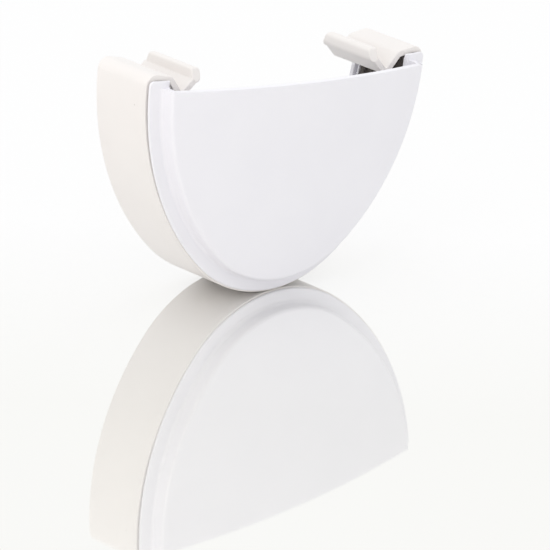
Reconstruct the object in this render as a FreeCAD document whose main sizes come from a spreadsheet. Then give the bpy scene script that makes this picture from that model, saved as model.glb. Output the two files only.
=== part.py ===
# Gutter end cap: an external stop end for a deep elliptical gutter of about 115 by 75 mm.
#
# Three pieces: a moulded end body with a domed plate and a socket, a ribbed rubber seal lying in
# the socket's channel, and a sprung strap that wraps the socket and clips over the gutter's lips.
#
# Frame: X across, Y along the gutter with the plate facing -Y, Z up. The origin is in the middle
# of the footprint, under the lowest line of the strap.

import FreeCAD, Part
import math
import os
import Sketcher

# Driving dimensions in millimetres and degrees. An inset is measured inwards from the strap's
# outer surface, a height is above the strap's lowest line, and a depth runs along Y.
SIZES = [
    # The trough that every wall follows: a bottom arc and two side arcs, tangent to it
    ("half_width", 66.0),
    ("bottom_radius", 51.0),
    ("spring_height", 84.0),
    # End plate, raised on a wall in front of the rim
    ("plate_inset", 6.0),
    ("plate_thickness", 2.2),
    ("plate_drop", 2.45),
    ("plate_bulge", 6.2),
    ("plate_edge_chamfer", 2.0),
    ("plateau_depth", 5.5),
    ("plateau_wall", 2.2),
    # Rim, with the two lips at its ends
    ("rim_inset", 0.6),
    ("rim_thickness", 1.4),
    ("rim_edge_chamfer", 0.6),
    ("lip_rise", 0.35),
    ("lip_corner_radius", 2.0),
    # Stop wall behind the rim, which the gutter's end meets
    ("stop_inset", 9.6),
    # Socket: a thin collar with a flange at its mouth and a rib that holds the seal
    ("collar_clearance", 0.25),
    ("collar_wall", 1.4),
    ("collar_tail", 0.5),
    ("collar_drop", 1.6),
    ("flange_inset", 8.2),
    ("flange_thickness", 1.8),
    ("groove_width", 1.8),
    ("rib_thickness", 0.8),
    # Seal
    ("seal_fit", 0.1),
    ("seal_inset", 8.8),
    ("seal_rib_height", 1.2),
    ("seal_rib_width", 2.6),
    ("seal_rib_margin", 1.1),
    ("seal_rib_count", 5),
    # Strap and its two clips, each ending in a bead that a thumb can pull
    ("strap_gap", 0.5),
    ("strap_clearance", 0.2),
    ("strap_width", 27.1),
    ("strap_thickness", 2.4),
    ("clip_rise", 2.2),
    ("clip_corner_radius", 3.0),
    ("clip_top_slope", 10.0),
    ("clip_bend_radius", 2.2),
    ("leg_reach", 11.9),
    ("leg_slope", 50.0),
    ("hook_drop", 5.4),
    ("hook_radius", 1.8),
    ("tab_slope", 44.0),
    ("tab_length", 5.75),
    ("bead_width", 4.0),
    ("bead_height", 5.3),
    ("bead_overlap", 0.9),
    ("bead_end_gap", 1.2),
    ("bead_top_radius", 1.6),
    ("bead_bottom_radius", 2.3),
]

doc = FreeCAD.newDocument("gutter_end_cap")
sheet = doc.addObject("Spreadsheet::Sheet", "Sizes")
for row, (alias, value) in enumerate(SIZES, start=1):
    sheet.set(f"A{row}", alias)
    sheet.set(f"B{row}", str(value))
    sheet.setAlias(f"B{row}", alias)
doc.recompute()


def size(alias):
    """A driving dimension's value, for code that has to look at finished geometry."""
    return float(sheet.get(alias))


# Places that follow from the driving dimensions, written as expressions on the sheet
SIDE_RADIUS = (
    "((Sizes.half_width^2 + (Sizes.spring_height - Sizes.bottom_radius)^2 - Sizes.bottom_radius^2)"
    " / (2 * (Sizes.half_width - Sizes.bottom_radius)))"
)
SIDE_CENTRE = f"({SIDE_RADIUS} - Sizes.half_width)"
PLATE_TOP = "(Sizes.spring_height - Sizes.plate_drop)"
LIP_TOP = "(Sizes.spring_height + Sizes.lip_rise)"
RIM_FRONT = "Sizes.plateau_depth"
RIM_REAR = "(Sizes.plateau_depth + Sizes.rim_thickness)"
STRAP_FRONT = f"({RIM_REAR} + Sizes.strap_gap)"
STOP_REAR = f"({STRAP_FRONT} - Sizes.strap_clearance)"
COLLAR_REAR = f"({STRAP_FRONT} + Sizes.strap_width + Sizes.collar_tail)"
COLLAR_TOP = "(Sizes.spring_height - Sizes.collar_drop)"
COLLAR_OUTER = "(Sizes.strap_thickness + Sizes.collar_clearance)"
COLLAR_INNER = f"({COLLAR_OUTER} + Sizes.collar_wall)"
FLANGE_FRONT = f"({COLLAR_REAR} - Sizes.flange_thickness)"
RIB_FRONT = f"({FLANGE_FRONT} - Sizes.groove_width - Sizes.rib_thickness)"
PLATEAU_INNER = "(Sizes.plate_inset + Sizes.plateau_wall)"
MIDDLE_OF_DEPTH = f"(({COLLAR_REAR} - Sizes.plate_bulge) / 2)"

ORIGIN = (-1, 1)
VERTICAL_AXIS = -2
FIRST_EXTERNAL = (-3, 1)
START, END, CENTRE = 1, 2, 3


def value_of(expression):
    """The number that an expression on the sheet comes to."""
    return float(sheet.evalExpression(expression))


def new_body(label):
    """A body that stands with the part's footprint centred on the origin."""
    body = doc.addObject("PartDesign::Body", label)
    body.Label = label
    body.setExpression("Placement.Base.y", f"-{MIDDLE_OF_DEPTH}")
    return body


def new_sketch(body, name, plane_role, offset="0"):
    """A sketch on one of the body's own planes, moved along the plane's normal."""
    planes = {feature.Role: feature for feature in body.Origin.OriginFeatures}
    sketch = body.newObject("Sketcher::SketchObject", name)
    sketch.AttachmentSupport = [(planes[plane_role], "")]
    sketch.MapMode = "FlatFace"
    sketch.setExpression("AttachmentOffset.Base.z", offset)
    return sketch


def section_sketch(body, name, depth):
    """A sketch across the gutter at a depth along Y. The XZ plane's normal is -Y."""
    return new_sketch(body, name, "XZ_Plane", f"-({depth})")


def bind(sketch, kind, *where, to):
    """Add a dimension to a sketch and tie it to an expression on the sheet."""
    number = value_of(to)
    if kind == "Angle":
        number = math.radians(number)
        to = f"({to}) * 1 deg"
    index = sketch.addConstraint(Sketcher.Constraint(kind, *where, number))
    sketch.setExpression(f"Constraints[{index}]", to)


def pin_point(sketch, geometry, point, across, height, datum=ORIGIN):
    """Fix a sketch point by its distances from a datum point, across and up."""
    for kind, distance in (("DistanceX", across), ("DistanceY", height)):
        if value_of(distance) < 0:
            bind(sketch, kind, geometry, point, *datum, to=f"-({distance})")
        else:
            bind(sketch, kind, *datum, geometry, point, to=distance)


def rectangle(sketch, low, high, datum=ORIGIN):
    """A rectangle between two opposite corners, each at its distances from a datum point."""
    base = sketch.getPoint(*datum)
    left, bottom = base.x + value_of(low[0]), base.y + value_of(low[1])
    right, top = base.x + value_of(high[0]), base.y + value_of(high[1])
    corners = [(left, bottom), (right, bottom), (right, top), (left, top)]
    points = [FreeCAD.Vector(*corner, 0) for corner in corners]
    sides = [
        sketch.addGeometry(Part.LineSegment(points[number], points[(number + 1) % 4]))
        for number in range(4)
    ]
    for number, side in enumerate(sides):
        after = sides[(number + 1) % 4]
        sketch.addConstraint(Sketcher.Constraint("Coincident", side, END, after, START))
        direction = "Horizontal" if number % 2 == 0 else "Vertical"
        sketch.addConstraint(Sketcher.Constraint(direction, side))
    pin_point(sketch, sides[0], START, *low, datum)
    pin_point(sketch, sides[2], START, *high, datum)


def arc_about(centre, radius, first, last):
    circle = Part.Circle(FreeCAD.Vector(*centre, 0), FreeCAD.Vector(0, 0, 1), radius)
    return Part.ArcOfCircle(circle, first, last)


def trough_line(sketch, inset, top):
    """The trough's outline at an inset: left side, bottom and right side, ending at a height."""
    gap = value_of(inset)
    side_radius = value_of(SIDE_RADIUS)
    side_centre = value_of(SIDE_CENTRE)
    spring = size("spring_height")
    lowest = size("bottom_radius")
    meet = math.atan2(spring - lowest, side_centre)
    lift = math.asin((value_of(top) - spring) / (side_radius - gap))
    left = sketch.addGeometry(
        arc_about((side_centre, spring), side_radius - gap, math.pi - lift, math.pi + meet)
    )
    bottom = sketch.addGeometry(
        arc_about((0, lowest), lowest - gap, math.pi + meet, 2 * math.pi - meet)
    )
    right = sketch.addGeometry(
        arc_about((-side_centre, spring), side_radius - gap, -meet, lift)
    )
    sketch.addConstraint(Sketcher.Constraint("Tangent", left, END, bottom, START))
    sketch.addConstraint(Sketcher.Constraint("Tangent", bottom, END, right, START))
    sketch.addConstraint(Sketcher.Constraint("PointOnObject", bottom, CENTRE, VERTICAL_AXIS))
    bind(sketch, "DistanceY", *ORIGIN, bottom, CENTRE, to="Sizes.bottom_radius")
    bind(sketch, "Radius", bottom, to=f"Sizes.bottom_radius - {inset}")
    pin_point(sketch, left, CENTRE, SIDE_CENTRE, "Sizes.spring_height")
    pin_point(sketch, right, CENTRE, f"-{SIDE_CENTRE}", "Sizes.spring_height")
    bind(sketch, "DistanceY", *ORIGIN, left, START, to=top)
    bind(sketch, "DistanceY", *ORIGIN, right, END, to=top)
    return left, right


def join(sketch, first, first_point, second, second_point):
    """A straight line between two points that the sketch already has."""
    line = sketch.addGeometry(
        Part.LineSegment(sketch.getPoint(first, first_point), sketch.getPoint(second, second_point))
    )
    sketch.addConstraint(Sketcher.Constraint("Coincident", line, START, first, first_point))
    sketch.addConstraint(Sketcher.Constraint("Coincident", line, END, second, second_point))


def trough_band(body, name, outer, inner, top, front, length):
    """A wall that follows the trough between two insets, padded backwards from a depth."""
    sketch = section_sketch(body, f"{name}_section", front)
    outer_left, outer_right = trough_line(sketch, outer, top)
    inner_left, inner_right = trough_line(sketch, inner, top)
    join(sketch, outer_left, START, inner_left, START)
    join(sketch, outer_right, END, inner_right, END)
    pad = body.newObject("PartDesign::Pad", name)
    pad.Profile = sketch
    pad.Reversed = True
    pad.setExpression("Length", length)
    return pad


def inset_at(point):
    """How far inside the strap's outer surface a point lies."""
    across, height = abs(point.x), point.z
    spring = size("spring_height")
    lowest = size("bottom_radius")
    side_centre = value_of(SIDE_CENTRE)
    if height >= spring:
        return size("half_width") - across
    if across * (spring - lowest) < (lowest - height) * side_centre:
        return lowest - math.hypot(across, height - lowest)
    return value_of(SIDE_RADIUS) - math.hypot(across + side_centre, height - spring)


def edges_where(feature, test):
    """Names of the edges of a feature whose start, middle and end all pass a test."""
    doc.recompute()
    names = []
    for number, edge in enumerate(feature.Shape.Edges, start=1):
        first, last = edge.ParameterRange
        stations = [edge.valueAt(first + (last - first) * share) for share in (0.02, 0.5, 0.98)]
        if all(test(station) for station in stations):
            names.append(f"Edge{number}")
    return names


def round_edges(body, name, base, test, radius):
    """A fillet on the edges of the base that pass a test."""
    names = edges_where(base, test)
    fillet = body.newObject("PartDesign::Fillet", name)
    fillet.Base = (base, names)
    fillet.setExpression("Radius", radius)
    return fillet


def chamfer_edges(body, name, base, test, width):
    """A chamfer on the edges of the base that pass a test."""
    names = edges_where(base, test)
    chamfer = body.newObject("PartDesign::Chamfer", name)
    chamfer.Base = (base, names)
    chamfer.setExpression("Size", width)
    return chamfer


NEAR = 0.02


def near(first, second):
    return abs(first - second) < NEAR


def domed_plate(body):
    """The end plate: a strip bowed across X, swung about a far axis so that it bows down Z too."""
    across = "(Sizes.half_width - Sizes.plate_inset)"
    down = f"({PLATE_TOP} - Sizes.plate_inset)"
    bow_radius = f"(({across}^2 + Sizes.plate_bulge^2) / (2 * Sizes.plate_bulge))"
    swing_radius = f"(({down}^2 + Sizes.plate_bulge^2) / (2 * Sizes.plate_bulge))"
    strip = new_sketch(body, "plate_strip", "XY_Plane", PLATE_TOP)
    middle = (0, value_of(f"{bow_radius} - Sizes.plate_bulge"))
    outer = value_of(bow_radius)
    reach = math.asin(size("half_width") / outer)
    upright = -math.pi / 2
    front = strip.addGeometry(arc_about(middle, outer, upright - reach, upright + reach))
    rear = strip.addGeometry(
        arc_about(middle, outer - size("plate_thickness"), upright - reach, upright + reach)
    )
    strip.addConstraint(Sketcher.Constraint("PointOnObject", front, CENTRE, VERTICAL_AXIS))
    strip.addConstraint(Sketcher.Constraint("Coincident", front, CENTRE, rear, CENTRE))
    bind(strip, "DistanceY", *ORIGIN, front, CENTRE, to=f"{bow_radius} - Sizes.plate_bulge")
    bind(strip, "Radius", front, to=bow_radius)
    bind(strip, "Radius", rear, to=f"{bow_radius} - Sizes.plate_thickness")
    for arc in (front, rear):
        bind(strip, "DistanceX", arc, START, *ORIGIN, to="Sizes.half_width")
        bind(strip, "DistanceX", *ORIGIN, arc, END, to="Sizes.half_width")
    join(strip, front, START, rear, START)
    join(strip, front, END, rear, END)

    axis_sketch = new_sketch(body, "plate_swing_axis", "XY_Plane", PLATE_TOP)
    axis_depth = f"{swing_radius} - Sizes.plate_bulge"
    far = value_of(axis_depth)
    axis = axis_sketch.addGeometry(
        Part.LineSegment(FreeCAD.Vector(0, far, 0), FreeCAD.Vector(size("half_width"), far, 0))
    )
    axis_sketch.addConstraint(Sketcher.Constraint("Horizontal", axis))
    axis_sketch.addConstraint(Sketcher.Constraint("PointOnObject", axis, START, VERTICAL_AXIS))
    bind(axis_sketch, "DistanceY", *ORIGIN, axis, START, to=axis_depth)
    bind(axis_sketch, "DistanceX", *ORIGIN, axis, END, to="Sizes.half_width")
    doc.recompute()

    shell = body.newObject("PartDesign::Revolution", "plate_shell")
    shell.Profile = strip
    shell.ReferenceAxis = (axis_sketch, ["Edge1"])
    shell.setExpression("Angle", f"asin({PLATE_TOP} / ({swing_radius} - 2 * Sizes.plate_bulge))")
    doc.recompute()
    if shell.Shape.BoundBox.ZMax > value_of(PLATE_TOP) + NEAR:
        shell.Reversed = True

    trim = section_sketch(body, "plate_outline", "0")
    left, right = trough_line(trim, "Sizes.plate_inset", PLATE_TOP)
    join(trim, left, START, right, END)
    rectangle(
        trim,
        ("-2 * Sizes.half_width", "-Sizes.spring_height"),
        ("2 * Sizes.half_width", "2 * Sizes.spring_height"),
    )
    cut = body.newObject("PartDesign::Pocket", "plate_trim")
    cut.Profile = trim
    cut.Type = "ThroughAll"
    cut.Midplane = True
    return cut


def make_end_body():
    rim_front = value_of(RIM_FRONT)
    lip_top = value_of(LIP_TOP)
    plate_top = value_of(PLATE_TOP)

    def plate_edge(point):
        in_front = point.y < size("plate_thickness") / 2
        return in_front and point.z < plate_top - NEAR and near(inset_at(point), size("plate_inset"))

    def lip_corner(point):
        return near(point.z, lip_top) and near(inset_at(point), size("rim_inset"))

    def rim_edge(point):
        return near(point.y, rim_front) and near(inset_at(point), size("rim_inset"))

    body = new_body("end_body")
    domed_plate(body)
    trough_band(
        body, "plateau_side", "Sizes.plate_inset", PLATEAU_INNER, PLATE_TOP,
        "Sizes.plate_thickness / 2", f"{RIM_REAR} - Sizes.plate_thickness / 2",
    )
    rim = trough_band(
        body, "rim", "Sizes.rim_inset", "Sizes.stop_inset", LIP_TOP,
        RIM_FRONT, "Sizes.rim_thickness",
    )
    round_edges(body, "lip_rounding", rim, lip_corner, "Sizes.lip_corner_radius")
    trough_band(
        body, "stop_wall", COLLAR_OUTER, "Sizes.stop_inset", COLLAR_TOP,
        RIM_REAR, f"{STOP_REAR} - {RIM_REAR}",
    )
    trough_band(
        body, "collar", COLLAR_OUTER, COLLAR_INNER, COLLAR_TOP,
        RIM_REAR, f"{COLLAR_REAR} - {RIM_REAR}",
    )
    trough_band(
        body, "mouth_flange", COLLAR_OUTER, "Sizes.flange_inset", COLLAR_TOP,
        FLANGE_FRONT, "Sizes.flange_thickness",
    )
    moulding = trough_band(
        body, "seal_rib", COLLAR_OUTER, "Sizes.flange_inset", COLLAR_TOP,
        RIB_FRONT, "Sizes.rib_thickness",
    )

    moulding = chamfer_edges(body, "plate_bevel", moulding, plate_edge, "Sizes.plate_edge_chamfer")
    chamfer_edges(body, "rim_bevel", moulding, rim_edge, "Sizes.rim_edge_chamfer")
    return body


def make_seal():
    """A rubber strip in the channel between the stop wall and the rib, with ribs along it."""
    body = new_body("rubber_seal")
    outer = f"({COLLAR_INNER} + Sizes.seal_fit)"
    face = "(Sizes.seal_inset - Sizes.seal_rib_height)"
    front = f"({STOP_REAR} + Sizes.seal_fit)"
    length = f"({RIB_FRONT} - Sizes.seal_fit - {front})"
    trough_band(body, "seal_strip", outer, face, COLLAR_TOP, front, length)
    rib = trough_band(
        body, "sealing_rib", outer, "Sizes.seal_inset", COLLAR_TOP,
        f"{front} + Sizes.seal_rib_margin", "Sizes.seal_rib_width",
    )
    ribs = body.newObject("PartDesign::LinearPattern", "sealing_ribs")
    ribs.Originals = [rib]
    planes = {feature.Role: feature for feature in body.Origin.OriginFeatures}
    ribs.Direction = (planes["Y_Axis"], [""])
    ribs.setExpression("Length", f"{length} - 2 * Sizes.seal_rib_margin - Sizes.seal_rib_width")
    ribs.setExpression("Occurrences", "Sizes.seal_rib_count")
    body.Tip = ribs
    return body


def turn(points, number, radius):
    """The arc that rounds a corner of a path: where it starts and ends, and its centre."""
    before, corner, after = (FreeCAD.Vector(*points[number + step], 0) for step in (-1, 0, 1))
    back = (before - corner).normalize()
    ahead = (after - corner).normalize()
    half = back.getAngle(ahead) / 2
    run = radius / math.tan(half)
    centre = corner + (back + ahead).normalize() * (radius / math.sin(half))
    return corner + back * run, corner + ahead * run, centre


def arc_between(start, end, centre):
    """The shorter arc about a centre, and whether it runs from start to end anticlockwise."""
    first = math.atan2(start.y - centre.y, start.x - centre.x)
    last = math.atan2(end.y - centre.y, end.x - centre.x)
    sweep = (last - first) % (2 * math.pi)
    forwards = sweep < math.pi
    if not forwards:
        first, last = last, first
    radius = start.distanceToPoint(centre)
    return arc_about((centre.x, centre.y), radius, first, last), forwards


def strap_path(body):
    """Half of the strap's middle line, from the lowest point up to the tip of one tab."""
    half_thick = "Sizes.strap_thickness / 2"
    sketch = section_sketch(body, "strap_path", STRAP_FRONT)
    gap = value_of(half_thick)
    side_centre = value_of(SIDE_CENTRE)
    side_radius = value_of(SIDE_RADIUS) - gap
    spring = size("spring_height")
    lowest = size("bottom_radius")
    meet = math.atan2(spring - lowest, side_centre)

    top_slope, leg_slope, tab_slope = (
        math.radians(size(alias)) for alias in ("clip_top_slope", "leg_slope", "tab_slope")
    )
    side = size("half_width") - gap
    corner = (side, spring + size("clip_rise") - gap)
    leg_across = size("half_width") - size("leg_reach")
    bend = (leg_across, corner[1] - (side - leg_across) * math.tan(top_slope))
    drop = bend[1] - (spring - size("hook_drop")) + size("hook_radius")
    hook = (bend[0] - drop / math.tan(leg_slope), bend[1] - drop)
    tab = size("tab_length") + size("hook_radius")
    tip = (hook[0] - tab * math.cos(tab_slope), hook[1] + tab * math.sin(tab_slope))
    points = [(side, spring), corner, bend, hook, tip]
    radii = [size(alias) for alias in ("clip_corner_radius", "clip_bend_radius", "hook_radius")]
    turns = [turn(points, number + 1, radius) for number, radius in enumerate(radii)]

    bottom = sketch.addGeometry(arc_about((0, lowest), lowest - gap, -math.pi / 2, -meet))
    wall_end = math.asin((turns[0][0].y - spring) / side_radius)
    wall = sketch.addGeometry(arc_about((-side_centre, spring), side_radius, -meet, wall_end))
    chain = [(bottom, START, END), (wall, START, END)]
    ends = [turns[1][0], turns[2][0], FreeCAD.Vector(*tip, 0)]
    for (start, end, centre), line_end in zip(turns, ends):
        arc, forwards = arc_between(start, end, centre)
        order = (START, END) if forwards else (END, START)
        chain.append((sketch.addGeometry(arc), *order))
        line = sketch.addGeometry(Part.LineSegment(end, line_end))
        chain.append((line, START, END))
    for (before, _, leaves), (after, enters, _) in zip(chain, chain[1:]):
        sketch.addConstraint(Sketcher.Constraint("Tangent", before, leaves, after, enters))

    corner_arc, top, bend_arc, leg, hook_arc, tab_line = (item[0] for item in chain[2:])
    sketch.addConstraint(Sketcher.Constraint("PointOnObject", bottom, CENTRE, VERTICAL_AXIS))
    sketch.addConstraint(Sketcher.Constraint("PointOnObject", bottom, START, VERTICAL_AXIS))
    bind(sketch, "DistanceY", *ORIGIN, bottom, CENTRE, to="Sizes.bottom_radius")
    bind(sketch, "Radius", bottom, to=f"Sizes.bottom_radius - {half_thick}")
    pin_point(sketch, wall, CENTRE, f"-{SIDE_CENTRE}", "Sizes.spring_height")
    bind(sketch, "Radius", corner_arc, to="Sizes.clip_corner_radius")
    bind(sketch, "Radius", bend_arc, to="Sizes.clip_bend_radius")
    bind(sketch, "Radius", hook_arc, to="Sizes.hook_radius")
    bind(
        sketch, "DistanceY", *ORIGIN, top, START,
        to=f"Sizes.spring_height + Sizes.clip_rise - {half_thick}",
    )
    bind(sketch, "Angle", top, to="180 + Sizes.clip_top_slope")
    bind(sketch, "Angle", leg, to="180 + Sizes.leg_slope")
    bind(sketch, "Angle", tab_line, to="180 - Sizes.tab_slope")
    bind(sketch, "DistanceX", *ORIGIN, leg, START, to="Sizes.half_width - Sizes.leg_reach")
    bind(sketch, "DistanceY", *ORIGIN, leg, END, to="Sizes.spring_height - Sizes.hook_drop")
    bind(sketch, "Distance", tab_line, to="Sizes.tab_length")
    doc.recompute()
    return sketch, len(chain), sketch.getPoint(tab_line, END)


def make_strap():
    """The sprung strap: a flat strip bent round the socket, hooked and beaded at both ends."""
    body = new_body("clip_strap")
    path, runs, tip = strap_path(body)
    section = new_sketch(body, "strap_section", "YZ_Plane")
    rectangle(
        section, (STRAP_FRONT, "0"), (f"{STRAP_FRONT} + Sizes.strap_width", "Sizes.strap_thickness")
    )
    doc.recompute()
    half = body.newObject("PartDesign::AdditivePipe", "strap_half")
    half.Profile = section
    half.Spine = (path, [f"Edge{number}" for number in range(1, runs + 1)])
    doc.recompute()

    bead_section = section_sketch(body, "bead_section", f"{STRAP_FRONT} + Sizes.bead_end_gap")
    path_ends = [path.Placement.inverse().multVec(vertex.Point) for vertex in path.Shape.Vertexes]
    tip_vertex = min(range(len(path_ends)), key=lambda number: path_ends[number].distanceToPoint(tip))
    doc.recompute()
    bead_section.addExternal(path.Name, f"Vertex{tip_vertex + 1}")
    bead_inner = "Sizes.bead_overlap - Sizes.bead_width"
    bead_top = "Sizes.bead_height - Sizes.bead_overlap"
    rectangle(
        bead_section,
        (bead_inner, "-Sizes.bead_overlap"), ("Sizes.bead_overlap", bead_top),
        datum=FIRST_EXTERNAL,
    )
    bead = body.newObject("PartDesign::Pad", "grip_bead")
    bead.Profile = bead_section
    bead.Reversed = True
    bead.setExpression("Length", "Sizes.strap_width - 2 * Sizes.bead_end_gap")
    doc.recompute()

    whole = body.newObject("PartDesign::Mirrored", "strap_whole")
    whole.Originals = [half, bead]
    planes = {feature.Role: feature for feature in body.Origin.OriginFeatures}
    whole.MirrorPlane = (planes["YZ_Plane"], [""])
    body.Tip = whole

    def bead_edge(level):
        across = tip.x + value_of(bead_inner)
        height = tip.y + value_of(level)
        return lambda point: near(abs(point.x), across) and near(point.z, height)

    rounded = round_edges(body, "bead_top", whole, bead_edge(bead_top), "Sizes.bead_top_radius")
    under = bead_edge("-Sizes.bead_overlap")
    round_edges(body, "bead_underside", rounded, under, "Sizes.bead_bottom_radius")
    return body


pieces = [make_end_body(), make_seal(), make_strap()]
doc.recompute()

for item in doc.Objects:
    if "Invalid" in item.State or "Error" in item.State:
        raise RuntimeError(f"{item.Name} failed: {item.State}")
for piece in pieces:
    if piece.Shape.isNull() or not piece.Shape.isValid():
        raise RuntimeError(f"{piece.Label} has no valid shape")

os.makedirs("parts", exist_ok=True)
for piece in pieces:
    piece.Shape.exportStep(f"parts/{piece.Label}.step")
    box = piece.Shape.optimalBoundingBox(False)
    print(
        f"{piece.Label}: {len(piece.Shape.Solids)} solid, {piece.Shape.Volume / 1000:.2f} cm3,"
        f" x {box.XMin:.2f} to {box.XMax:.2f}, y {box.YMin:.2f} to {box.YMax:.2f},"
        f" z {box.ZMin:.2f} to {box.ZMax:.2f}"
    )
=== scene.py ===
# %% [markdown]
# # A gutter end cap
#
# This cap closes the end of a rain gutter. It is moulded in white plastic: a domed plate stands in
# front of a thin rim, and behind the rim is a socket with a rubber seal, which the gutter is pushed
# into. A springy strap goes round the socket and hooks over the gutter's lips. The imported CAD part
# is loaded first, as a fixed frame.

# %% Load the imported part
import math

import bmesh
import bpy
from mathutils import Matrix, Vector


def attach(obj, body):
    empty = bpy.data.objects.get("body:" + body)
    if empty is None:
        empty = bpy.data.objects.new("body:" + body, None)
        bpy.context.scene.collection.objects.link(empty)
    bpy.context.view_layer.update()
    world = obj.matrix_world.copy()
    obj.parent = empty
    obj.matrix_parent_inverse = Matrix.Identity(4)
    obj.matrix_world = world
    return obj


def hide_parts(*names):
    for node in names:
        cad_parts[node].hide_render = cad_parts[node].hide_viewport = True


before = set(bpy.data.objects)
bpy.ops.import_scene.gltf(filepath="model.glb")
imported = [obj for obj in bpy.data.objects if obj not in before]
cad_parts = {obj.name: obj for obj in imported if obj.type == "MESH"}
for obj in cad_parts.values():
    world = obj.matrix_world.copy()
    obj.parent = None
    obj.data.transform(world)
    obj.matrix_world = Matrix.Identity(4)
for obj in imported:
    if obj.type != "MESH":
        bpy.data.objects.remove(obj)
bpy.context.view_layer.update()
scene = bpy.context.scene

# %% [markdown]
# ## The trough line
#
# Every wall of the cap follows the gutter's outline: a bottom arc and two side arcs that meet it
# smoothly. A wall could be traced point by point, but one rule is shorter and never kinks. A station
# is a place along that line, and an inset is how far a point lies inside the strap's outer surface.
# Arcs with one centre stay parallel, so a station gives a point for any inset.

# %% Stations along the trough
MM = 0.001
HALF_WIDTH = 66.0
BOTTOM_RADIUS = 51.0
SPRING_HEIGHT = 84.0
MIDDLE_OF_DEPTH = 14.4
SIDE_RADIUS = (HALF_WIDTH**2 + (SPRING_HEIGHT - BOTTOM_RADIUS) ** 2 - BOTTOM_RADIUS**2) / (
    2 * (HALF_WIDTH - BOTTOM_RADIUS)
)
SIDE_CENTRE = SIDE_RADIUS - HALF_WIDTH
MEET_ANGLE = math.atan2(SPRING_HEIGHT - BOTTOM_RADIUS, SIDE_CENTRE)
SIDE_STEPS = 56
BOTTOM_STEPS = 64


def place(across, depth, height):
    """A point in the part's frame, in metres, from millimetres."""
    return Vector((across, depth - MIDDLE_OF_DEPTH, height)) * MM


def spread(first, last, steps):
    """Evenly spaced numbers from first to last."""
    return [first + (last - first) * number / steps for number in range(steps + 1)]


def stations(top, near_top=(0.0,)):
    """Places along the trough from the left top to the right top: centre, radius, angle, drop.

    A drop is the distance below the top, and near_top lists drops that need a place of their own.
    """
    start = max(near_top)
    drops = sorted(near_top)[:-1]
    angles = [math.asin((top - drop - SPRING_HEIGHT) / SIDE_RADIUS) for drop in drops]
    low = math.asin((top - start - SPRING_HEIGHT) / SIDE_RADIUS)
    angles += spread(low, -MEET_ANGLE, SIDE_STEPS)
    heights = [SPRING_HEIGHT + SIDE_RADIUS * math.sin(angle) for angle in angles]
    right = [
        ((-SIDE_CENTRE, SPRING_HEIGHT), SIDE_RADIUS, angle, top - height)
        for angle, height in zip(angles, heights)
    ]
    left = [
        ((SIDE_CENTRE, SPRING_HEIGHT), SIDE_RADIUS, math.pi - angle, drop)
        for _, _, angle, drop in right
    ]
    bottom = [
        ((0.0, BOTTOM_RADIUS), BOTTOM_RADIUS, angle, top)
        for angle in spread(MEET_ANGLE - math.pi, -MEET_ANGLE, BOTTOM_STEPS)[1:-1]
    ]
    return left + bottom + right[::-1]


def on_trough(station, inset):
    """Where a station's point at an inset lies, across and up, in millimetres."""
    (across, height), radius, angle, _ = station
    reach = radius - inset
    return across + reach * math.cos(angle), height + reach * math.sin(angle)


print("side arcs of radius", round(SIDE_RADIUS, 2), "mm on a bottom arc of", BOTTOM_RADIUS, "mm")

# %% [markdown]
# ## Sections and lofts
#
# A moulded wall has no razor edges, so each section is a polygon with its corners rounded, given as
# inset, depth and corner radius. A loft joins one ring of points to the next. At the two ends of a
# wall the section shrinks a little over the last fraction of a millimetre, which rounds the end too.
# A bevel modifier would also do that, but it stumbles over the short edges of the rounded corners.
# Walls that overlap are united into one closed mesh, so no faces are left inside it.

# %% Rounded sections
ARC_STEPS = 4
MITRE_LIMIT = 0.5


def rounded(corners, steps=ARC_STEPS):
    """A closed polygon whose corners, each (u, v, radius), are turned into short arcs."""
    points = []
    for number, (u, v, radius) in enumerate(corners):
        corner = Vector((u, v))
        back = (Vector(corners[number - 1][:2]) - corner).normalized()
        ahead = (Vector(corners[(number + 1) % len(corners)][:2]) - corner).normalized()
        half = back.angle(ahead) / 2
        start = corner + back * (radius / math.tan(half))
        end = corner + ahead * (radius / math.tan(half))
        centre = corner + (back + ahead).normalized() * (radius / math.sin(half))
        sweep = (start - centre).angle_signed(end - centre)
        for share in spread(0.0, 1.0, steps):
            points.append(centre + Matrix.Rotation(-sweep * share, 2) @ (start - centre))
    return points


def shrunk(points, amount):
    """The same closed polygon with every side moved inwards by an amount."""
    area = sum(a.x * b.y - b.x * a.y for a, b in zip(points, points[1:] + points[:1]))
    turn = 1.0 if area > 0 else -1.0
    moved = []
    for number, point in enumerate(points):
        before = (point - points[number - 1]).normalized()
        after = (points[(number + 1) % len(points)] - point).normalized()
        inward = Vector((-before.y - after.y, before.x + after.x)) * turn
        stretch = max(MITRE_LIMIT, 1.0 + before.dot(after)) / 2
        moved.append(point + inward / 2 * (amount / stretch))
    return moved


def end_rounding(drop, radius):
    """How far a section has shrunk at a distance from the wall's end."""
    if drop >= radius:
        return 0.0
    return radius - math.sqrt(max(0.0, radius**2 - (radius - drop) ** 2))


print("a corner of a section is an arc of", ARC_STEPS, "steps")

# %% Lofting a wall
MERGE_DISTANCE = 0.002 * MM
SLIVER_LENGTH = 0.001 * MM


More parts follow.
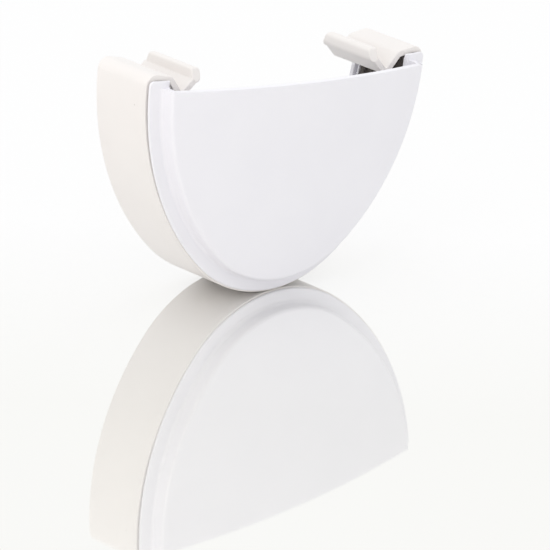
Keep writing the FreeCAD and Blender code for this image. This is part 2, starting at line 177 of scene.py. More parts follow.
def loft(rings):
    """A closed mesh through rings of points, with a face over the first ring and the last."""
    shell = bmesh.new()
    rows = [[shell.verts.new(point) for point in ring] for ring in rings]
    for row, after in zip(rows, rows[1:]):
        for number in range(len(row)):
            step = (number + 1) % len(row)
            shell.faces.new((row[number], row[step], after[step], after[number]))
    shell.faces.new(rows[0][::-1])
    shell.faces.new(rows[-1])
    bmesh.ops.remove_doubles(shell, verts=shell.verts, dist=MERGE_DISTANCE)
    bmesh.ops.dissolve_degenerate(shell, edges=shell.edges, dist=SLIVER_LENGTH)
    bmesh.ops.recalc_face_normals(shell, faces=shell.faces)
    mesh = bpy.data.meshes.new("shell")
    shell.to_mesh(mesh)
    shell.free()
    print("a loft through", len(rows), "rings has", len(mesh.polygons), "faces")
    return mesh


# %% Uniting walls into a finished piece
SHARP_ANGLE = math.radians(40)


def united(meshes):
    """One closed mesh from one or more that overlap."""
    shells = []
    for mesh in meshes:
        shell = bpy.data.objects.new(mesh.name, mesh)
        scene.collection.objects.link(shell)
        shells.append(shell)
    for shell in shells[1:]:
        union = shells[0].modifiers.new(shell.name, "BOOLEAN")
        union.operation = "UNION"
        union.solver = "MANIFOLD"
        union.object = shell
    seen = shells[0].evaluated_get(bpy.context.evaluated_depsgraph_get())
    mesh = bpy.data.meshes.new_from_object(seen)
    for shell in shells:
        bpy.data.objects.remove(shell)
    return mesh


def finished_piece(name, meshes, material):
    """One smooth object from its meshes, with flat faces kept flat by weighted normals."""
    whole = bmesh.new()
    whole.from_mesh(united(meshes))
    bmesh.ops.dissolve_degenerate(whole, edges=whole.edges, dist=SLIVER_LENGTH)
    for edge in whole.edges:
        edge.smooth = edge.calc_face_angle(0.0) < SHARP_ANGLE
    joined = bpy.data.meshes.new(name)
    whole.to_mesh(joined)
    whole.free()
    for face in joined.polygons:
        face.use_smooth = True
    joined.materials.clear()
    joined.materials.append(material)
    piece = bpy.data.objects.new(name, joined)
    scene.collection.objects.link(piece)
    flat_faces = piece.modifiers.new("flat_faces", "WEIGHTED_NORMAL")
    flat_faces.keep_sharp = True
    flat_faces.weight = 100
    print(name, "has", len(joined.polygons), "faces")
    return piece


# %% [markdown]
# ## Finishes
#
# The body and the strap are rigid PVC, moulded against a polished steel tool: an even white with a
# soft gloss, a very fine ripple left by the tool, and a few specks of dust that static holds on it.
# The strap's white is a little warmer. The seal is EPDM rubber, extruded, so it is matt and nearly
# black, with fine lines along its length and a pale bloom. Image textures could do this too, but
# nodes on Object coordinates keep one real scale over every piece.

# %% Colour and node helpers
def linear(hex_colour):
    """An sRGB hex colour as linear RGBA."""
    channels = [int(hex_colour[start : start + 2], 16) / 255 for start in (1, 3, 5)]
    return [
        value / 12.92 if value <= 0.04045 else ((value + 0.055) / 1.055) ** 2.4 for value in channels
    ] + [1.0]


def add_node(tree, kind, inputs=None, **settings):
    """A node with its settings, whose inputs take a plain value or another node's output."""
    node = tree.nodes.new(kind)
    for name, value in settings.items():
        setattr(node, name, value)
    for name, value in (inputs or {}).items():
        if isinstance(value, bpy.types.NodeSocket):
            tree.links.new(value, node.inputs[name])
        else:
            node.inputs[name].default_value = value
    return node


def new_material(name):
    """A material whose node tree is still empty, and that tree."""
    material = bpy.data.materials.new(name)
    material.use_nodes = True
    material.node_tree.nodes.clear()
    return material, material.node_tree


print("a middle grey of #808080 is", round(linear("#808080")[0], 3), "in linear light")

# %% White moulded PVC
def moulded_pvc(name, light, dark, gloss, ripple_mm, grain):
    """Rigid PVC from a mould: two close whites, a soft gloss, a fine ripple and stray specks."""
    material, tree = new_material(name)
    where = add_node(tree, "ShaderNodeTexCoord").outputs["Object"]
    cloud_mm = 28.0
    clouds = add_node(
        tree, "ShaderNodeTexNoise", {"Vector": where, "Scale": 1 / (cloud_mm * MM), "Detail": 3.0}
    ).outputs["Fac"]
    white = add_node(
        tree, "ShaderNodeMix",
        {"Factor": clouds, 6: linear(light), 7: linear(dark)}, data_type="RGBA",
    ).outputs[2]
    # Specks of dust about half a millimetre wide, in a few of the cells of a 9 mm pattern
    speck_cell_mm = 9.0
    speck_core, speck_edge = 0.02, 0.045
    empty_share, speck_strength, speck_colour = 0.72, 0.3, "#8C837C"
    cells = add_node(
        tree, "ShaderNodeTexVoronoi", {"Vector": where, "Scale": 1 / (speck_cell_mm * MM)}
    )
    near_speck = add_node(
        tree, "ShaderNodeMapRange",
        {"Value": cells.outputs["Distance"], "From Min": speck_core, "From Max": speck_edge,
         "To Min": 1.0, "To Max": 0.0},
    ).outputs["Result"]
    few = add_node(
        tree, "ShaderNodeMath", {0: cells.outputs["Color"], 1: empty_share}, operation="GREATER_THAN"
    ).outputs["Value"]
    speck = add_node(
        tree, "ShaderNodeMath", {0: near_speck, 1: few}, operation="MULTIPLY"
    ).outputs["Value"]
    faint = add_node(
        tree, "ShaderNodeMath", {0: speck, 1: speck_strength}, operation="MULTIPLY"
    ).outputs["Value"]
    colour = add_node(
        tree, "ShaderNodeMix",
        {"Factor": faint, 6: white, 7: linear(speck_colour)}, data_type="RGBA",
    ).outputs[2]
    # The gloss drifts a little with the clouds, which keeps highlights from looking too even
    gloss_drift = 0.05
    roughness = add_node(
        tree, "ShaderNodeMapRange",
        {"Value": clouds, "From Min": 0.3, "From Max": 0.7,
         "To Min": gloss - gloss_drift, "To Max": gloss + gloss_drift},
    ).outputs["Result"]
    ripple_strength, ripple_depth_mm = 0.12, 0.05
    stretched = add_node(
        tree, "ShaderNodeMapping", {"Vector": where, "Scale": grain}
    ).outputs["Vector"]
    ripple = add_node(
        tree, "ShaderNodeTexNoise",
        {"Vector": stretched, "Scale": 1 / (ripple_mm * MM), "Detail": 2.0},
    ).outputs["Fac"]
    bump = add_node(
        tree, "ShaderNodeBump",
        {"Height": ripple, "Strength": ripple_strength, "Distance": ripple_depth_mm * MM},
    ).outputs["Normal"]
    shader = add_node(
        tree, "ShaderNodeBsdfPrincipled",
        {"Base Color": colour, "Roughness": roughness, "Normal": bump, "IOR": 1.53},
    )
    add_node(tree, "ShaderNodeOutputMaterial", {"Surface": shader.outputs["BSDF"]})
    return material


EVEN_GRAIN = (1.0, 1.0, 1.0)
GRAIN_ALONG_STRAP = (0.15, 1.0, 0.15)

body_pvc = moulded_pvc("white moulded PVC", "#F4F3F7", "#EFEEF3", 0.34, 1.6, EVEN_GRAIN)
strap_pvc = moulded_pvc("warm white moulded PVC", "#F2EEEB", "#EDE9E6", 0.4, 1.2, GRAIN_ALONG_STRAP)
print("finishes:", body_pvc.name, "and", strap_pvc.name)

# %% Black EPDM rubber
def extruded_epdm():
    """EPDM from an extruder: matt, nearly black, with fine lines along it and a pale bloom."""
    material, tree = new_material("black EPDM rubber")
    where = add_node(tree, "ShaderNodeTexCoord").outputs["Object"]
    grain_along_seal = (0.04, 1.0, 0.04)
    line_mm, line_strength, line_depth_mm = 0.5, 0.35, 0.08
    lines_along = add_node(
        tree, "ShaderNodeMapping", {"Vector": where, "Scale": grain_along_seal}
    ).outputs["Vector"]
    lines = add_node(
        tree, "ShaderNodeTexNoise",
        {"Vector": lines_along, "Scale": 1 / (line_mm * MM), "Detail": 2.0},
    ).outputs["Fac"]
    bloom_mm = 7.0
    bloom = add_node(
        tree, "ShaderNodeTexNoise",
        {"Vector": where, "Scale": 1 / (bloom_mm * MM), "Detail": 5.0, "Roughness": 0.65},
    ).outputs["Fac"]
    mixed = add_node(
        tree, "ShaderNodeMath", {0: lines, 1: bloom}, operation="MULTIPLY"
    ).outputs["Value"]
    chalk = add_node(
        tree, "ShaderNodeMapRange",
        {"Value": mixed, "From Min": 0.15, "From Max": 0.45, "To Min": 0.0, "To Max": 1.0},
    ).outputs["Result"]
    colour = add_node(
        tree, "ShaderNodeMix",
        {"Factor": chalk, 6: linear("#403A37"), 7: linear("#67605A")}, data_type="RGBA",
    ).outputs[2]
    roughness = add_node(
        tree, "ShaderNodeMapRange", {"Value": bloom, "To Min": 0.6, "To Max": 0.85}
    ).outputs["Result"]
    bump = add_node(
        tree, "ShaderNodeBump",
        {"Height": lines, "Strength": line_strength, "Distance": line_depth_mm * MM},
    ).outputs["Normal"]
    shader = add_node(
        tree, "ShaderNodeBsdfPrincipled",
        {"Base Color": colour, "Roughness": roughness, "Normal": bump, "IOR": 1.52},
    )
    add_node(tree, "ShaderNodeOutputMaterial", {"Surface": shader.outputs["BSDF"]})
    return material


seal_epdm = extruded_epdm()
print("finish:", seal_epdm.name)

# %% [markdown]
# ## The domed plate
#
# The plate bows gently both ways: a strip bowed across is swung about a far axis, so it bows down
# too. Its edge rolls into a short wall with a small radius, and the wall runs into the rim with
# another, inside and out. A subdivided sheet could be pushed into that shape by hand, but here the
# depth of each point is worked out, so the light runs over it without a ripple. Each station gives
# one closed loop: down the front, round the edge, back along the wall, and up the rear.

# %% The plate's bow
PLATE_INSET = 6.0
PLATE_TOP = 81.55
PLATE_BULGE = 6.2

half_across = HALF_WIDTH - PLATE_INSET
half_down = PLATE_TOP - PLATE_INSET
BOW_RADIUS = (half_across**2 + PLATE_BULGE**2) / (2 * PLATE_BULGE)
SWING_RADIUS = (half_down**2 + PLATE_BULGE**2) / (2 * PLATE_BULGE)


def dome(across, height, behind=0.0):
    """Depth of the plate's surface, or of a surface parallel to it and behind it."""
    bowed = BOW_RADIUS - PLATE_BULGE - math.sqrt((BOW_RADIUS - behind) ** 2 - across**2)
    axis = SWING_RADIUS - PLATE_BULGE
    return axis - math.sqrt((axis - bowed) ** 2 - (PLATE_TOP - height) ** 2)


print("the plate's bows have radii of", round(BOW_RADIUS), "and", round(SWING_RADIUS), "mm")

# %% Loops round the plate and its wall
PLATE_THICKNESS = 2.2
PLATE_EDGE_RADIUS = 1.6
PLATE_TOP_RADIUS = 0.35
WALL_INNER = 8.2
ROOT_RADIUS = 1.4
INNER_ROOT = 1.2
RIM_FRONT = 5.5
RIM_INSET = 0.6
RIM_FALL = 0.6
FAN_HEIGHT = 150.0
PLATE_STEPS = 26
TOP_ARC_STEPS, EDGE_ARC_STEPS, ROOT_STEPS, INNER_ROOT_STEPS = 3, 8, 5, 4
PLATE_TOP_DROPS = (0.0, 0.15, 0.4, 0.8)
# Walls reach into the rim, and roots end just under its face, so that no two faces coincide
WALL_OVERLAP = 0.4
ROOT_OVERLAP = 0.02


def plate_loop(station):
    """One closed loop round the plate and its wall, through a station and the plate's top edge."""
    def at(inset):
        return on_trough(station, inset)

    edge = dome(*at(PLATE_INSET))
    slope = dome(*at(PLATE_INSET + 1.0)) - edge
    length = math.hypot(1.0, slope)
    centre = edge + PLATE_EDGE_RADIUS * (length + slope)
    roll_start = PLATE_INSET + PLATE_EDGE_RADIUS * (1.0 + slope / length)

    def up_to_top(inset):
        """Points from the plate's top edge down to an inset, on a fan of nearly upright lines."""
        across, height = at(inset)
        share = (FAN_HEIGHT - PLATE_TOP) / (FAN_HEIGHT - height)
        return [
            (across * part, FAN_HEIGHT - (FAN_HEIGHT - height) * part)
            for part in spread(share, 1.0, PLATE_STEPS)
        ]

    front_line = up_to_top(roll_start)
    fall = front_line[0][1] - front_line[-1][1]
    soft = min(PLATE_TOP_RADIUS, fall / (2 * PLATE_STEPS))
    loop = []
    for angle in spread(0.0, math.pi / 2, TOP_ARC_STEPS)[:-1]:
        across = front_line[0][0]
        height = PLATE_TOP - soft * (1 - math.cos(angle))
        loop.append(place(across, dome(across, height) + soft * (1 - math.sin(angle)), height))
    loop += [place(x, dome(x, z), z) for x, z in front_line[1:-1]]
    first = math.atan2(-1.0, slope) % (2 * math.pi)
    for angle in spread(first, math.pi, EDGE_ARC_STEPS):
        x, z = at(PLATE_INSET + PLATE_EDGE_RADIUS * (1 + math.cos(angle)))
        loop.append(place(x, centre + PLATE_EDGE_RADIUS * math.sin(angle), z))
    for angle in spread(0.0, math.pi / 2, ROOT_STEPS):
        inset = PLATE_INSET - ROOT_RADIUS * (1 - math.cos(angle))
        fallen = RIM_FALL * (PLATE_INSET - inset) / (PLATE_INSET - RIM_INSET)
        depth = RIM_FRONT + fallen + ROOT_OVERLAP - ROOT_RADIUS * (1 - math.sin(angle))
        x, z = at(inset)
        loop.append(place(x, depth, z))
    for inset in (PLATE_INSET - ROOT_RADIUS, WALL_INNER + INNER_ROOT):
        x, z = at(inset)
        loop.append(place(x, RIM_FRONT + WALL_OVERLAP, z))
    for angle in spread(math.pi / 2, math.pi, INNER_ROOT_STEPS):
        x, z = at(WALL_INNER + INNER_ROOT * (1 + math.cos(angle)))
        loop.append(place(x, RIM_FRONT + ROOT_OVERLAP - INNER_ROOT * (1 - math.sin(angle)), z))
    rear_line = up_to_top(WALL_INNER)[::-1]
    loop += [place(x, dome(x, z, PLATE_THICKNESS), z) for x, z in rear_line]
    return loop


plate_shell = loft([plate_loop(station) for station in stations(PLATE_TOP, PLATE_TOP_DROPS)])

# %% [markdown]
# ## The rim and the socket
#
# The rim is a band round the plate that falls back a little towards its rounded outer edge. Its two
# ends stand up past the plate as lips with a rounded corner, and their tops fall inwards. Behind it
# is the socket: a collar with a stop wall for the gutter's end, a thin rib that holds the seal, a
# groove, and a flange at the mouth. It was moulded in one shot, so the whole comb-like section is one
# polygon and goes along the trough in one loft.

# %% Rim loft
RIM_REAR = 6.9
STOP_INSET = 9.6
LIP_TOP = 84.35
LIP_RADIUS = 2.0
LIP_FALL, LIP_FALL_DEPTH = 0.4, 6.0
END_RADIUS = 0.18


def rim_section(drop):
    """The rim's section at a distance below the lip's top, where its outer corner is rounded."""
    outer = RIM_INSET + end_rounding(drop, LIP_RADIUS)
    section = rounded([
        (outer, RIM_FRONT + RIM_FALL, 0.6), (PLATE_INSET, RIM_FRONT, 0.2),
        (STOP_INSET, RIM_FRONT, 1.1), (STOP_INSET, RIM_REAR, 0.2), (outer, RIM_REAR, 0.25),
    ])
    return shrunk(section, end_rounding(drop, END_RADIUS))


def rim_ring(station):
    """The rim's section at a station; near the top it tips, so that the lip falls inwards."""
    drop = station[3]
    tip = LIP_FALL * max(0.0, 1.0 - drop / LIP_FALL_DEPTH)
    ring = []
    for inset, depth in rim_section(drop):
        across, height = on_trough(station, inset)
        inwards = (inset - RIM_INSET) / (STOP_INSET - RIM_INSET)
        ring.append(place(across, depth, height - tip * inwards))
    return ring


end_drops = (0.0, 0.03, 0.09, END_RADIUS)
lip_drops = end_drops + (0.5, 0.75, 1.0, 1.3, 1.65, LIP_RADIUS)
rim_shell = loft([rim_ring(station) for station in stations(LIP_TOP, lip_drops)])

# %% Socket loft, and the whole moulding
COLLAR_TOP = 82.4
COLLAR_OUTER = 2.65
COLLAR_INNER = 4.05
COLLAR_FRONT = RIM_REAR - WALL_OVERLAP
STOP_REAR = 7.2
RIB_FRONT, RIB_REAR = 30.6, 31.4
FLANGE_FRONT, FLANGE_REAR = 33.2, 35.0
FLANGE_INSET = 8.2
# The stop wall ends just short of the rim's inner edge, so that no two faces coincide
STOP_WALL_INSET = STOP_INSET - 0.05

SOCKET_SECTION = rounded([
    (COLLAR_OUTER, COLLAR_FRONT, 0.2), (COLLAR_OUTER, FLANGE_REAR, 0.4),
    (FLANGE_INSET, FLANGE_REAR, 0.4), (FLANGE_INSET, FLANGE_FRONT, 0.3),
    (COLLAR_INNER, FLANGE_FRONT, 0.3), (COLLAR_INNER, RIB_REAR, 0.3),
    (FLANGE_INSET, RIB_REAR, 0.3), (FLANGE_INSET, RIB_FRONT, 0.3),
    (COLLAR_INNER, RIB_FRONT, 0.2), (COLLAR_INNER, STOP_REAR, 0.2),
    (STOP_WALL_INSET, STOP_REAR, 0.2), (STOP_WALL_INSET, COLLAR_FRONT, 0.2),
])


def socket_ring(station):
    """The socket's section at a station."""
    ring = []
    for inset, depth in shrunk(SOCKET_SECTION, end_rounding(station[3], END_RADIUS)):
        across, height = on_trough(station, inset)
        ring.append(place(across, depth, height))
    return ring


socket_shell = loft([socket_ring(station) for station in stations(COLLAR_TOP, end_drops)])
moulding = finished_piece("end_moulding", [plate_shell, rim_shell, socket_shell], body_pvc)

# %% [markdown]
# ## The seal
#
# The seal is a rubber strip pressed into the socket's channel, with rounded ribs that the gutter
# squeezes flat. The ribs repeat and follow the trough, which is what Geometry Nodes are for: one rib
# is swept along the line, copied at a pitch, and united with a swept base. Grooves could also be cut
# into a thick strip, but that would take a cut for each groove.

# %% The two ends of a tree, and running it
ALONG_GUTTER = (0.0, 1.0, 0.0)


def new_tree(name, inputs):
    """An empty Geometry Nodes tree with named inputs, its inputs' sockets, and its path."""
    tree = bpy.data.node_groups.new(name, "GeometryNodeTree")
    tree.interface.new_socket("Geometry", in_out="INPUT", socket_type="NodeSocketGeometry")
    for label, kind in inputs.items():
        tree.interface.new_socket(label, in_out="INPUT", socket_type=f"NodeSocket{kind}")
    tree.interface.new_socket("Geometry", in_out="OUTPUT", socket_type="NodeSocketGeometry")
    start = add_node(tree, "NodeGroupInput").outputs
    line = add_node(tree, "GeometryNodeMeshToCurve", {"Mesh": start["Geometry"]}).outputs["Curve"]
    path = add_node(
        tree, "GeometryNodeSetCurveNormal", {"Curve": line, "Normal": ALONG_GUTTER}, mode="FREE"
    ).outputs["Curve"]
    return tree, start, path


def end_tree(tree, geometry, material):
    """Close a tree: plain mesh, smooth, with its material set."""
    plain = add_node(tree, "GeometryNodeRealizeInstances", {"Geometry": geometry}).outputs["Geometry"]
    smooth = add_node(tree, "GeometryNodeSetShadeSmooth", {"Geometry": plain}).outputs["Geometry"]
    painted = add_node(
        tree, "GeometryNodeSetMaterial", {"Geometry": smooth, "Material": material}
    ).outputs["Geometry"]
    add_node(tree, "NodeGroupOutput", {"Geometry": painted})


def grow(tree, points, values):
    """Run a tree on a line of points and keep what it makes as a plain mesh."""
    line = bpy.data.meshes.new(f"{tree.name}_line")
    line.from_pydata(points, [(number, number + 1) for number in range(len(points) - 1)], [])
    carrier = bpy.data.objects.new(line.name, line)
    scene.collection.objects.link(carrier)
    modifier = carrier.modifiers.new(tree.name, "NODES")
    modifier.node_group = tree
    for item in tree.interface.items_tree:
        if item.in_out == "INPUT" and item.name in values:
            modifier[item.identifier] = values[item.name]
    seen = carrier.evaluated_get(bpy.context.evaluated_depsgraph_get())
    mesh = bpy.data.meshes.new_from_object(seen)
    carrier.modifiers.remove(modifier)
    bpy.data.objects.remove(carrier)
    print(tree.name, "made", len(mesh.polygons), "faces")
    return mesh


# %% A tree for a ribbed strip
BASE_CORNER_STEPS, RIB_STEPS = 3, 20


def ribbed_strip_tree():
    """A tree that sweeps a base and one rib, repeats the rib, and unites them all."""
    tree, start, path = new_tree("ribbed_strip", {
        "Base centre": "Vector", "Base width": "Float", "Base height": "Float",
        "Corner radius": "Float", "First rib": "Vector", "Rib size": "Vector",
        "Rib count": "Int", "Rib pitch": "Vector", "Material": "Material",
    })
    block = add_node(
        tree, "GeometryNodeCurvePrimitiveQuadrilateral",
        {"Width": start["Base width"], "Height": start["Base height"]},
    ).outputs["Curve"]
    soft_block = add_node(
        tree, "GeometryNodeFilletCurve",
        {"Curve": block, "Radius": start["Corner radius"], "Count": BASE_CORNER_STEPS}, mode="POLY",
    ).outputs["Curve"]
    base_section = add_node(
        tree, "GeometryNodeTransform", {"Geometry": soft_block, "Translation": start["Base centre"]}
    ).outputs["Geometry"]
    base = add_node(
        tree, "GeometryNodeCurveToMesh",
        {"Curve": path, "Profile Curve": base_section, "Fill Caps": True},
    ).outputs["Mesh"]
    round_rib = add_node(
        tree, "GeometryNodeCurvePrimitiveCircle", {"Resolution": RIB_STEPS, "Radius": 1.0}
    ).outputs["Curve"]
    rib_section = add_node(
        tree, "GeometryNodeTransform",
        {"Geometry": round_rib, "Translation": start["First rib"], "Scale": start["Rib size"]},
    ).outputs["Geometry"]
    rib = add_node(
        tree, "GeometryNodeCurveToMesh",
        {"Curve": path, "Profile Curve": rib_section, "Fill Caps": True},
    ).outputs["Mesh"]
    row = add_node(
        tree, "GeometryNodeMeshLine", {"Count": start["Rib count"], "Offset": start["Rib pitch"]}
    ).outputs["Mesh"]
    ribs = add_node(
        tree, "GeometryNodeInstanceOnPoints", {"Points": row, "Instance": rib}
    ).outputs["Instances"]
    rib_row = add_node(tree, "GeometryNodeRealizeInstances", {"Geometry": ribs}).outputs["Geometry"]
    union = add_node(tree, "GeometryNodeMeshBoolean", operation="UNION", solver="MANIFOLD")
    tree.links.new(base, union.inputs["Mesh 2"])
    tree.links.new(rib_row, union.inputs["Mesh 2"])
    end_tree(tree, union.outputs["Mesh"], start["Material"])
    return tree


ribbed_strip = ribbed_strip_tree()
print(ribbed_strip.name, "has", len(ribbed_strip.nodes), "nodes")

# %% Seal in its channel
SEAL_FRONT, SEAL_REAR = 7.3, 30.5
SEAL_OUTER, SEAL_FACE, SEAL_INNER = 4.15, 7.6, 8.8
SEAL_CORNER_RADIUS = 0.3
RIB_WIDTH, RIB_COUNT, RIB_MARGIN = 2.6, 5, 1.1

rib_pitch = (SEAL_REAR - SEAL_FRONT - 2 * RIB_MARGIN - RIB_WIDTH) / (RIB_COUNT - 1)
first_rib = SEAL_FRONT + RIB_MARGIN + RIB_WIDTH / 2 - MIDDLE_OF_DEPTH
trough_points = [
    Vector((across, 0.0, height)) * MM
    for across, height in (on_trough(station, 0.0) for station in stations(COLLAR_TOP))
]
seal_mesh = grow(ribbed_strip, trough_points, {
    "Base centre": Vector((
        (SEAL_FRONT + SEAL_REAR) / 2 - MIDDLE_OF_DEPTH, (SEAL_OUTER + SEAL_FACE) / 2, 0.0
    )) * MM,
    "Base width": (SEAL_REAR - SEAL_FRONT) * MM,
    "Base height": (SEAL_FACE - SEAL_OUTER) * MM,
    "Corner radius": SEAL_CORNER_RADIUS * MM,
    "First rib": Vector((first_rib, SEAL_FACE, 0.0)) * MM,
    "Rib size": Vector((RIB_WIDTH / 2, SEAL_INNER - SEAL_FACE, 1.0 / MM)) * MM,
    "Rib count": RIB_COUNT,
    "Rib pitch": Vector((0.0, rib_pitch, 0.0)) * MM,
    "Material": seal_epdm,
})
seal = finished_piece("ribbed_seal", [seal_mesh], seal_epdm)

# %% [markdown]
# ## The strap
#
# The strap is one springy strip: under the socket, up both sides, over the gutter's lip, down a
# slanted leg to a hook and up again to a bead that a thumb pulls. Its middle line is made of arcs
# and straight runs that touch without a kink, and Geometry Nodes sweep a strip with softened edges
# along it. The slot between its front edge and the rim closes downwards, so the tree moves that edge
# by height. Bending a flat strip with modifiers would stretch it at the tight turns.

# %% The strap's middle line
STRAP_FRONT, STRAP_WIDTH, STRAP_THICKNESS = 7.4, 27.1, 2.4
CLIP_RISE, CORNER_RADIUS = 2.2, 3.0
BEND_RADIUS, LEG_REACH = 2.2, 11.9
HOOK_DROP, HOOK_RADIUS = 5.4, 1.8
TAB_LENGTH = 5.75
TOP_SLOPE, LEG_SLOPE, TAB_SLOPE = (math.radians(angle) for angle in (10.0, 50.0, 44.0))
STRAP_BOTTOM_STEPS, STRAP_SIDE_STEPS = 36, 44
CORNER_STEPS, BEND_STEPS, HOOK_STEPS = 12, 8, 12


def round_about(centre, radius, first, last, steps):
    """Points on an arc from the first angle to the last."""
    return [
        Vector((centre.x + radius * math.cos(angle), centre.y + radius * math.sin(angle)))
        for angle in spread(first, last, steps)
    ]


def direction(angle):
    """A step of length 1 at an angle."""
    return Vector((math.cos(angle), math.sin(angle)))


def strap_half():
    """Points across and up, from the lowest point to the end of the right tab."""
    half_thick = STRAP_THICKNESS / 2
    quarter = math.pi / 2
    side_centre = Vector((-SIDE_CENTRE, SPRING_HEIGHT))
    side_radius = SIDE_RADIUS - half_thick
    over_top = quarter + TOP_SLOPE
    top = SPRING_HEIGHT + CLIP_RISE - half_thick
    corner_height = top - CORNER_RADIUS * math.sin(over_top)
    rise = corner_height - SPRING_HEIGHT
    corner = Vector((
        side_centre.x + math.sqrt((side_radius - CORNER_RADIUS) ** 2 - rise**2), corner_height
    ))
    into_corner = math.atan2(rise, corner.x - side_centre.x)
    top_start = corner + CORNER_RADIUS * direction(over_top)
    leg_turn = quarter + LEG_SLOPE
    bend_across = HALF_WIDTH - LEG_REACH - BEND_RADIUS * math.cos(leg_turn)
    top_end = bend_across + BEND_RADIUS * math.cos(over_top)
    top_end_height = top_start.y - (top_start.x - top_end) * math.tan(TOP_SLOPE)
    bend = Vector((bend_across, top_end_height - BEND_RADIUS * math.sin(over_top)))
    leg_start = bend + BEND_RADIUS * direction(leg_turn)
    leg_end_height = SPRING_HEIGHT - HOOK_DROP
    leg_end = Vector((
        leg_start.x - (leg_start.y - leg_end_height) / math.tan(LEG_SLOPE), leg_end_height
    ))
    hook = leg_end + HOOK_RADIUS * direction(leg_turn)
    hook_end = hook - HOOK_RADIUS * direction(quarter - TAB_SLOPE)
    tip = hook_end + TAB_LENGTH * direction(math.pi - TAB_SLOPE)
    bottom_centre = Vector((0.0, BOTTOM_RADIUS))
    bottom_radius = BOTTOM_RADIUS - half_thick
    line = round_about(bottom_centre, bottom_radius, -quarter, -MEET_ANGLE, STRAP_BOTTOM_STEPS)
    line += round_about(side_centre, side_radius, -MEET_ANGLE, into_corner, STRAP_SIDE_STEPS)[1:]
    line += round_about(corner, CORNER_RADIUS, into_corner, over_top, CORNER_STEPS)[1:]
    line += round_about(bend, BEND_RADIUS, over_top, leg_turn, BEND_STEPS)
    line += round_about(hook, HOOK_RADIUS, LEG_SLOPE - quarter, -quarter - TAB_SLOPE, HOOK_STEPS)
    return line + [tip]


half_line = strap_half()
whole_line = [Vector((-point.x, point.y)) for point in half_line[:0:-1]] + half_line
tab_end = half_line[-1]
print("the tab ends", round(tab_end.x, 2), "mm across and", round(tab_end.y, 2), "mm up")

# %% A tree for a flat strip
def flat_strip_tree():
    """A tree that sweeps a strip and sets its front edge back by an amount that grows upwards."""
    tree, start, path = new_tree("flat_strip", {
        "Width": "Float", "Thickness": "Float", "Edge radius": "Float", "Front": "Float",
        "Low height": "Float", "High height": "Float", "Low set-back": "Float",
        "High set-back": "Float", "Material": "Material",
    })
    block = add_node(
        tree, "GeometryNodeCurvePrimitiveQuadrilateral",
        {"Width": start["Width"], "Height": start["Thickness"]},
    ).outputs["Curve"]
    section = add_node(
        tree, "GeometryNodeFilletCurve",
        {"Curve": block, "Radius": start["Edge radius"], "Count": ARC_STEPS}, mode="POLY",
    ).outputs["Curve"]
    strip = add_node(
        tree, "GeometryNodeCurveToMesh",
        {"Curve": path, "Profile Curve": section, "Fill Caps": True},
    ).outputs["Mesh"]
    where = add_node(
        tree, "ShaderNodeSeparateXYZ",
        {"Vector": add_node(tree, "GeometryNodeInputPosition").outputs["Position"]},
    ).outputs
    set_back = add_node(
        tree, "ShaderNodeMapRange",
        {"Value": where["Z"], "From Min": start["Low height"], "From Max": start["High height"],
         "To Min": start["Low set-back"], "To Max": start["High set-back"]},
    ).outputs["Result"]
    behind_front = add_node(
        tree, "ShaderNodeMath", {0: where["Y"], 1: start["Front"]}, operation="SUBTRACT"
    ).outputs["Value"]
    near_front = add_node(
        tree, "ShaderNodeMapRange",
        {"Value": behind_front, "From Max": start["Width"], "To Min": 1.0, "To Max": 0.0},
    ).outputs["Result"]
    move = add_node(
        tree, "ShaderNodeMath", {0: set_back, 1: near_front}, operation="MULTIPLY"
    ).outputs["Value"]
    backwards = add_node(tree, "ShaderNodeCombineXYZ", {"Y": move}).outputs["Vector"]
    leaning = add_node(
        tree, "GeometryNodeSetPosition", {"Geometry": strip, "Offset": backwards}
    ).outputs["Geometry"]
    end_tree(tree, leaning, start["Material"])
    return tree


flat_strip = flat_strip_tree()
print(flat_strip.name, "has", len(flat_strip.nodes), "nodes")

# %% The strap's strip
STRAP_EDGE_RADIUS = 0.35
SLOT_LOW_HEIGHT, SLOT_HIGH_HEIGHT = 28.0, 72.0
LOW_SET_BACK, HIGH_SET_BACK = -0.45, 0.2

strap_middle = STRAP_FRONT + STRAP_WIDTH / 2
strip_mesh = grow(flat_strip, [place(p.x, strap_middle, p.y) for p in whole_line], {
    "Width": STRAP_WIDTH * MM,
    "Thickness": STRAP_THICKNESS * MM,
    "Edge radius": STRAP_EDGE_RADIUS * MM,
    "Front": (STRAP_FRONT - MIDDLE_OF_DEPTH) * MM,
    "Low height": SLOT_LOW_HEIGHT * MM,
    "High height": SLOT_HIGH_HEIGHT * MM,
    "Low set-back": LOW_SET_BACK * MM,
    "High set-back": HIGH_SET_BACK * MM,
    "Material": strap_pvc,
})

# %% Grip beads
BEAD_WIDTH, BEAD_HEIGHT, BEAD_OVERLAP = 4.0, 5.3, 0.9
BEAD_TAPER = 1.8
BEAD_END_RADIUS = 0.6
BEAD_ARC_STEPS = 6

bead_low = Vector((tab_end.x + BEAD_OVERLAP - BEAD_WIDTH, tab_end.y - BEAD_OVERLAP))
bead_high = bead_low + Vector((BEAD_WIDTH, BEAD_HEIGHT))
BEAD_SECTION = rounded([
    (bead_low.x, bead_low.y, 2.3), (bead_high.x, bead_low.y, 0.7),
    (bead_high.x, bead_high.y, 0.8), (bead_low.x, bead_high.y, 1.6),
], BEAD_ARC_STEPS)


